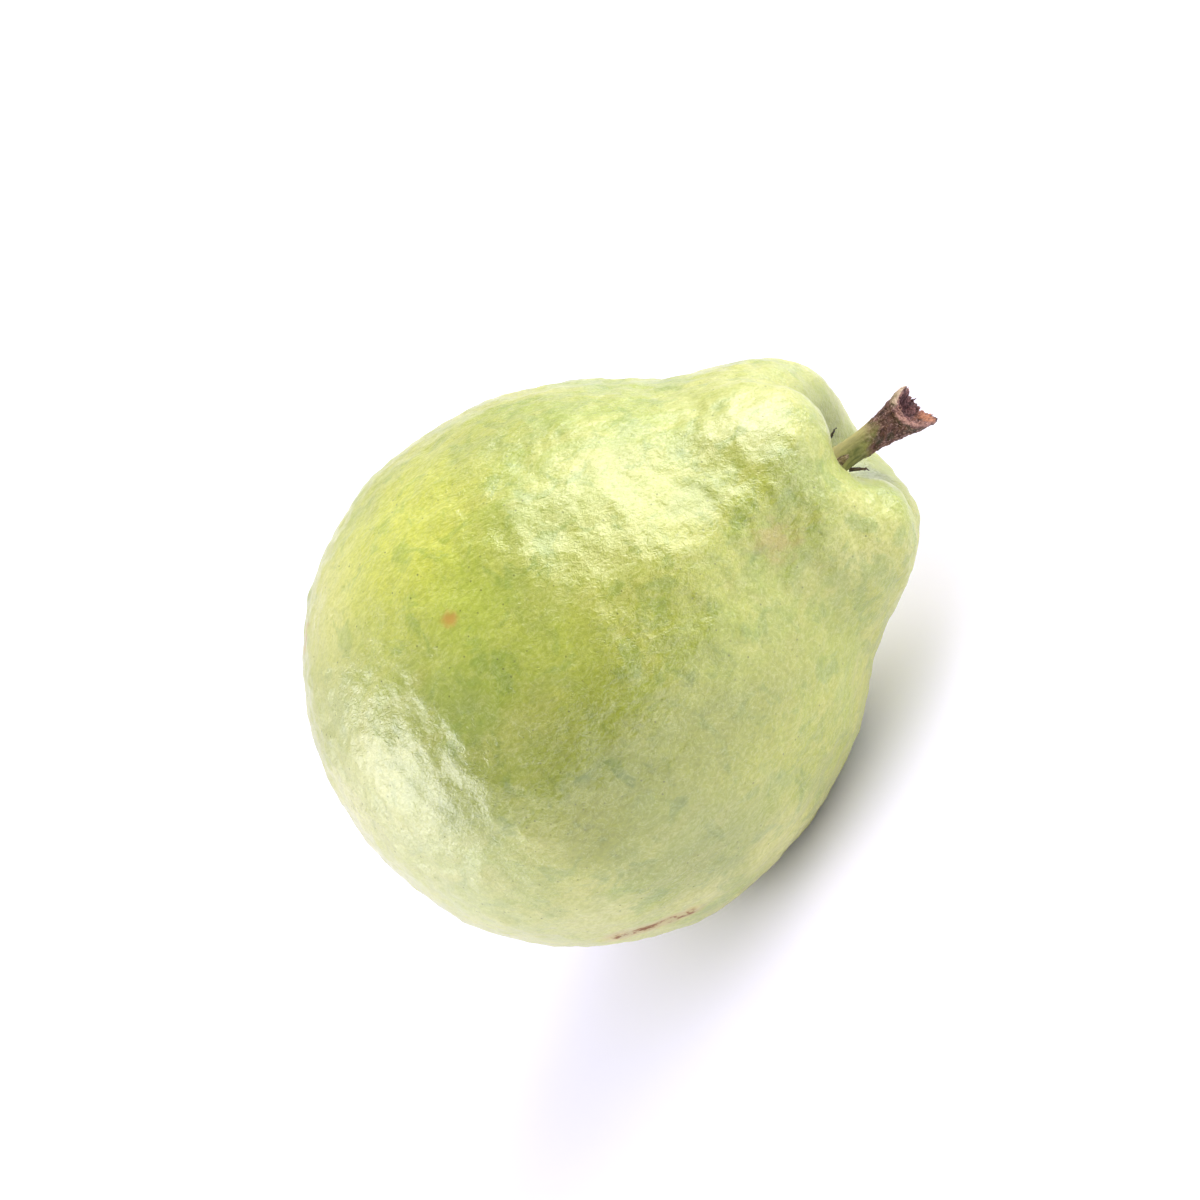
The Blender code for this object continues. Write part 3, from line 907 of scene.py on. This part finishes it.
def thorn(start, direction, length, width, bend):
    """A thin tapered sliver from the start, bent sideways."""
    share = np.array([0.0, 0.0, 0.35, 0.7, 0.92, 1.0])
    reach = np.array([0.0, 1.0, 0.9, 0.6, 0.25, 0.0]) * width / 2
    turns = np.linspace(0.0, 2 * math.pi, 6, endpoint=False)
    side = direction.orthogonal().normalized()
    other = direction.cross(side).normalized()
    rings = []
    for at, radius in zip(share[::-1], reach[::-1]):
        middle = start + direction * (length * at) + bend * (length * at**2)
        rings.append([middle + (side * math.cos(t) + other * math.sin(t)) * radius for t in turns])
    return closed_mesh("thorn", np.array(rings))


def splinters():
    """Torn fibres that stand on the lip of the stalk's cup."""
    draw = np.random.default_rng(57)
    made = []
    for _ in range(SPLINTERS):
        turn = draw.uniform(0.0, 2 * math.pi)
        foot = from_axis(math.degrees(turn), *SPLINTER_FOOT_MM)
        start = Vector(weathered(np.array([foot]))[0])
        outward = Vector((math.cos(turn), math.sin(turn), 0.0))
        direction = (Vector((0.0, 0.0, 1.0)) + outward * draw.uniform(-0.5, 0.7)).normalized()
        bend = Vector(draw.uniform(-0.4, 0.4, 3))
        made.append(thorn(start, direction, draw.uniform(0.5, 1.1) * MM, draw.uniform(0.14, 0.3) * MM, bend))
    return made


def make_stalk(place):
    mesh = turned_mesh("stalk", STALK_OUTLINE_MM, STALK_RINGS, STALK_SEGMENTS)
    set_points(mesh, weathered(mesh_points(mesh)))
    points = mesh_points(mesh)
    set_points(mesh, points + mesh_normals(mesh) * stalk_relief(points)[:, None])
    stalk = add_piece("stalk", joined("stalk", [mesh, *splinters()]), place, stalk_material(place))
    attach(stalk, "root")
    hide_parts("stem")


def flake_mesh(name, size, curl, seed):
    """A dry flake. It stands on its broad end at z 0, narrows to a ragged tip and curls towards local +Y."""
    heights = np.concatenate(([1.0], np.linspace(1.0, 0.0, FLAKE_RINGS)[1:], [0.0]))
    turns = np.linspace(0.0, 2 * math.pi, FLAKE_SEGMENTS, endpoint=False)
    tip = np.sqrt(np.clip(1.0 - np.clip((heights - 0.75) / 0.25, 0.0, 1.0) ** 2, 0.0, 1.0))
    half_width = size.x / 2 * (1.0 - 0.72 * heights**1.7) * tip
    half_thickness = size.y / 2 * (1.0 - 0.60 * heights) * tip
    half_width[-1] = 0.0
    half_thickness[-1] = 0.0
    x = half_width[:, None] * np.cos(turns)
    y = half_thickness[:, None] * np.sin(turns)
    z = np.repeat(heights[:, None] * size.z, FLAKE_SEGMENTS, axis=1)
    points = np.stack((x, y, z), axis=-1).reshape(-1, 3)
    flat = points * (1.0, 0.0, 1.0)
    grow = (points[:, 2] / size.z) ** 2
    wide = smooth_noise(flat, size.x / 3, seed)
    ribs = smooth_noise(flat * (1.0, 1.0, 0.2), size.x / 10, seed + 1)
    frayed = smooth_noise(flat * (1.0, 1.0, 0.1), size.x / 8, seed + 2)
    points[:, 0] += wide * grow * size.x * 0.08
    points[:, 1] += curl * size.z * grow + wide * grow * size.y * 0.9 + ribs * size.y * 0.10
    points[:, 2] += frayed * grow * size.z * 0.10
    return closed_mesh(name, points.reshape(len(heights), FLAKE_SEGMENTS, 3))


def round_axis(turn, distance, height, lean):
    """A place beside the axis. Its local +Y points away from the axis, and local +Z leans out by lean."""
    spot = Matrix.Rotation(turn - math.pi / 2, 4, "Z") @ Matrix.Translation((0.0, distance, height))
    return spot @ Matrix.Rotation(-lean, 4, "X")


def make_bracts(at_stalk):
    for number, (name, numbers) in enumerate(BRACTS.items()):
        turn, lean, twist, distance, start, length, width, dark, pale = numbers
        size = Vector((width * MM, BRACT_THICKNESS, length * MM))
        spot = round_axis(math.radians(turn), distance * MM, start * MM, math.radians(lean))
        spot = spot @ Matrix.Rotation(math.radians(twist), 4, "Z")
        mesh = flake_mesh(name, size, BRACT_CURL, 60 + 3 * number)
        place = at_stalk @ spot
        dry = dry_material(name + "_dry", place, (dark, pale), BRACT_GRAIN_MM)
        bract = add_piece(name + "_scale", mesh, place, dry)
        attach(bract, "root")
        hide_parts(name)


def stamen_stubs():
    """The dry stubs of the stamens, standing on the calyx disc."""
    draw = np.random.default_rng(71)
    made = []
    for _ in range(STAMENS):
        turn = draw.uniform(0.0, 2 * math.pi)
        distance = draw.uniform(*STAMEN_RING_MM) * MM
        outward = Vector((math.cos(turn), math.sin(turn), 0.0))
        start = outward * distance + Vector((0.0, 0.0, 0.5 * MM))
        direction = (Vector((0.0, 0.0, 1.0)) + Vector(draw.uniform(-0.7, 0.7, 3))).normalized()
        bend = Vector(draw.uniform(-0.4, 0.4, 3))
        made.append(thorn(start, direction, draw.uniform(*STAMEN_LENGTH_MM) * MM, STAMEN_WIDTH, bend))
    return made


def make_calyx(at_calyx):
    mesh = turned_mesh("disc", DISC_OUTLINE_MM, DISC_RINGS, DISC_SEGMENTS)
    points = mesh_points(mesh)
    spread = step(0.5 * MM, 2.0 * MM, np.hypot(points[:, 0], points[:, 1]))
    turn = np.arctan2(points[:, 1], points[:, 0])
    rays = smooth_noise(np.column_stack((np.cos(turn), np.sin(turn), 0 * turn)) * 5 * MM, 0.9 * MM, 72)
    crumbs = smooth_noise(points, 0.7 * MM, 73)
    relief = (0.14 * rays * spread + 0.10 * crumbs) * MM
    set_points(mesh, points + mesh_normals(mesh) * relief[:, None])
    dry = dry_material("disc_dry", at_calyx, DISC_COLOURS, DISC_GRAIN_MM, stubs=STAMEN_COLOUR)
    disc = add_piece("disc", joined("disc", [mesh, *stamen_stubs()]), at_calyx, dry)
    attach(disc, "root")
    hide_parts("calyx_disc")
    for k in range(SEPALS):
        place = at_calyx @ round_axis(2 * math.pi * k / SEPALS, SEPAL_RING, 0.0, SEPAL_LEAN)
        mesh = flake_mesh("lobe", SEPAL_SIZE, SEPAL_CURL, 80 + 3 * k)
        dry = dry_material(f"lobe_dry_{k + 1}", place, SEPAL_COLOURS, SEPAL_GRAIN_MM)
        lobe = add_piece(f"lobe_{k + 1}", mesh, place, dry)
        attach(lobe, "root")
        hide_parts(f"sepal_{k + 1}")


# ---- stage ---------------------------------------------------------------------------------------


def camera_axes():
    """Right and up in an upright picture, and the direction from the fruit to the camera."""
    azimuth, elevation = CAMERA_AZIMUTH, CAMERA_ELEVATION
    flat = math.cos(elevation)
    back = Vector((math.sin(azimuth) * flat, -math.cos(azimuth) * flat, math.sin(elevation)))
    right = Vector((math.cos(azimuth), math.sin(azimuth), 0.0))
    return right, back.cross(right), back


def make_camera():
    right, up, back = camera_axes()
    turn = PICTURE_TURN
    picture_right = right * math.cos(turn) - up * math.sin(turn)
    picture_up = right * math.sin(turn) + up * math.cos(turn)
    low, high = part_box("fruit")
    aim = (low + high) / 2 + picture_right * FRAME_RIGHT + picture_up * FRAME_UP
    data = bpy.data.cameras.new("camera")
    data.lens = CAMERA_LENS_MM
    data.clip_start = 0.01
    camera = bpy.data.objects.new("camera", data)
    turned = Matrix((picture_right, picture_up, back)).transposed().to_4x4()
    camera.matrix_world = Matrix.Translation(aim + back * CAMERA_DISTANCE) @ turned
    bpy.context.scene.collection.objects.link(camera)
    bpy.context.scene.camera = camera


class Sky:
    """Brightness of the surroundings by direction."""

    def __init__(self, world):
        self.tree = world.node_tree
        self.direction = self.tree.nodes.new("ShaderNodeTexCoord").outputs["Generated"]

    def fade(self, middle, start, end, at_start, at_end):
        """at_start where the cosine of the angle from the middle is up to start, and at_end from end on."""
        facing = self.tree.nodes.new("ShaderNodeVectorMath")
        facing.operation = "DOT_PRODUCT"
        facing.inputs[1].default_value = middle
        self.tree.links.new(self.direction, facing.inputs[0])
        level = self.tree.nodes.new("ShaderNodeMapRange")
        level.interpolation_type = "SMOOTHSTEP"
        for name, value in (("From Min", start), ("From Max", end), ("To Min", at_start), ("To Max", at_end)):
            level.inputs[name].default_value = value
        self.tree.links.new(facing.outputs["Value"], level.inputs["Value"])
        return level.outputs["Result"]

    def add(self, first, second):
        total = self.tree.nodes.new("ShaderNodeMath")
        total.operation = "ADD"
        self.tree.links.new(first, total.inputs[0])
        self.tree.links.new(second, total.inputs[1])
        return total.outputs[0]

    def plain_where_seen(self, level):
        """The level for the light, and an even pale backdrop where the surroundings themselves are seen."""
        seen = self.tree.nodes.new("ShaderNodeLightPath").outputs["Is Camera Ray"]
        chosen = self.tree.nodes.new("ShaderNodeMix")
        self.tree.links.new(seen, chosen.inputs["Factor"])
        self.tree.links.new(level, chosen.inputs["A"])
        chosen.inputs["B"].default_value = BACKDROP
        return chosen.outputs["Result"]


def make_light():
    right, up, back = camera_axes()
    world = bpy.data.worlds.new("surroundings")
    world.use_nodes = True
    sky = Sky(world)
    strength = sky.fade(back, BRIGHT_SIDE_ENDS, DIM_SIDE_STARTS, BRIGHT_SIDE, DIM_SIDE)
    for to_right, upwards, to_camera, inner, outer, brightness in SOFTBOXES:
        middle = (right * to_right + up * upwards + back * to_camera).normalized()
        box = sky.fade(middle, math.cos(math.radians(outer)), math.cos(math.radians(inner)), 0.0, brightness)
        strength = sky.add(strength, box)
    strength = sky.plain_where_seen(strength)
    background = world.node_tree.nodes["Background"]
    background.inputs["Color"].default_value = (*SURROUNDINGS, 1.0)
    world.node_tree.links.new(strength, background.inputs["Strength"])
    bpy.context.scene.world = world
    bpy.context.scene.view_settings.view_transform = "Standard"


def make_floor():
    shape = bmesh.new()
    bmesh.ops.create_grid(shape, x_segments=1, y_segments=1, size=FLOOR_SIZE / 2)
    mesh = bpy.data.meshes.new("floor")
    shape.to_mesh(mesh)
    shape.free()
    paint = Paint("floor_paper")
    material = paint.finish(Base_Color=FLOOR_COLOUR, Roughness=1.0, Specular_IOR_Level=0.0)
    floor = add_piece("floor", mesh, Matrix.Identity(4), material)
    washed = bpy.data.collections.new("washed")
    washed.objects.link(floor)
    data = bpy.data.lights.new("floor_wash", "SUN")
    data.energy = FLOOR_WASH
    data.color = FLOOR_WASH_COLOUR
    data.angle = FLOOR_WASH_ANGLE
    lamp = bpy.data.objects.new("floor_wash", data)
    _, _, back = camera_axes()
    lamp.rotation_mode = "QUATERNION"
    lamp.rotation_quaternion = (back + Vector((0.0, 0.0, 0.6))).to_track_quat("Z", "Y")
    lamp.light_linking.receiver_collection = washed
    bpy.context.scene.collection.objects.link(lamp)


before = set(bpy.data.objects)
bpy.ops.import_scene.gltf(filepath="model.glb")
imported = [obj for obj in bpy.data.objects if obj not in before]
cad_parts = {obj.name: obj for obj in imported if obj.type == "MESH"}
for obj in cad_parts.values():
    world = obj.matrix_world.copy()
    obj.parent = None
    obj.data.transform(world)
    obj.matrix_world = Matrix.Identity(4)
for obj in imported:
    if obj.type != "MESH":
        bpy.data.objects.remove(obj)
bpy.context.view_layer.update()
make_camera()
make_light()
make_floor()
at_fruit = make_skin()
at_stalk = at_fruit @ Matrix.Translation((0.0, 0.0, STEM_SIDE_MM[0][1] * MM + GAP))
make_stalk(at_stalk)
make_bracts(at_stalk)
basin_floor = CALYX_BASIN_MM[-1][1] * MM - GAP
make_calyx(at_fruit @ Matrix.Translation((0.0, 0.0, basin_floor)) @ Matrix.Rotation(math.pi, 4, "X"))
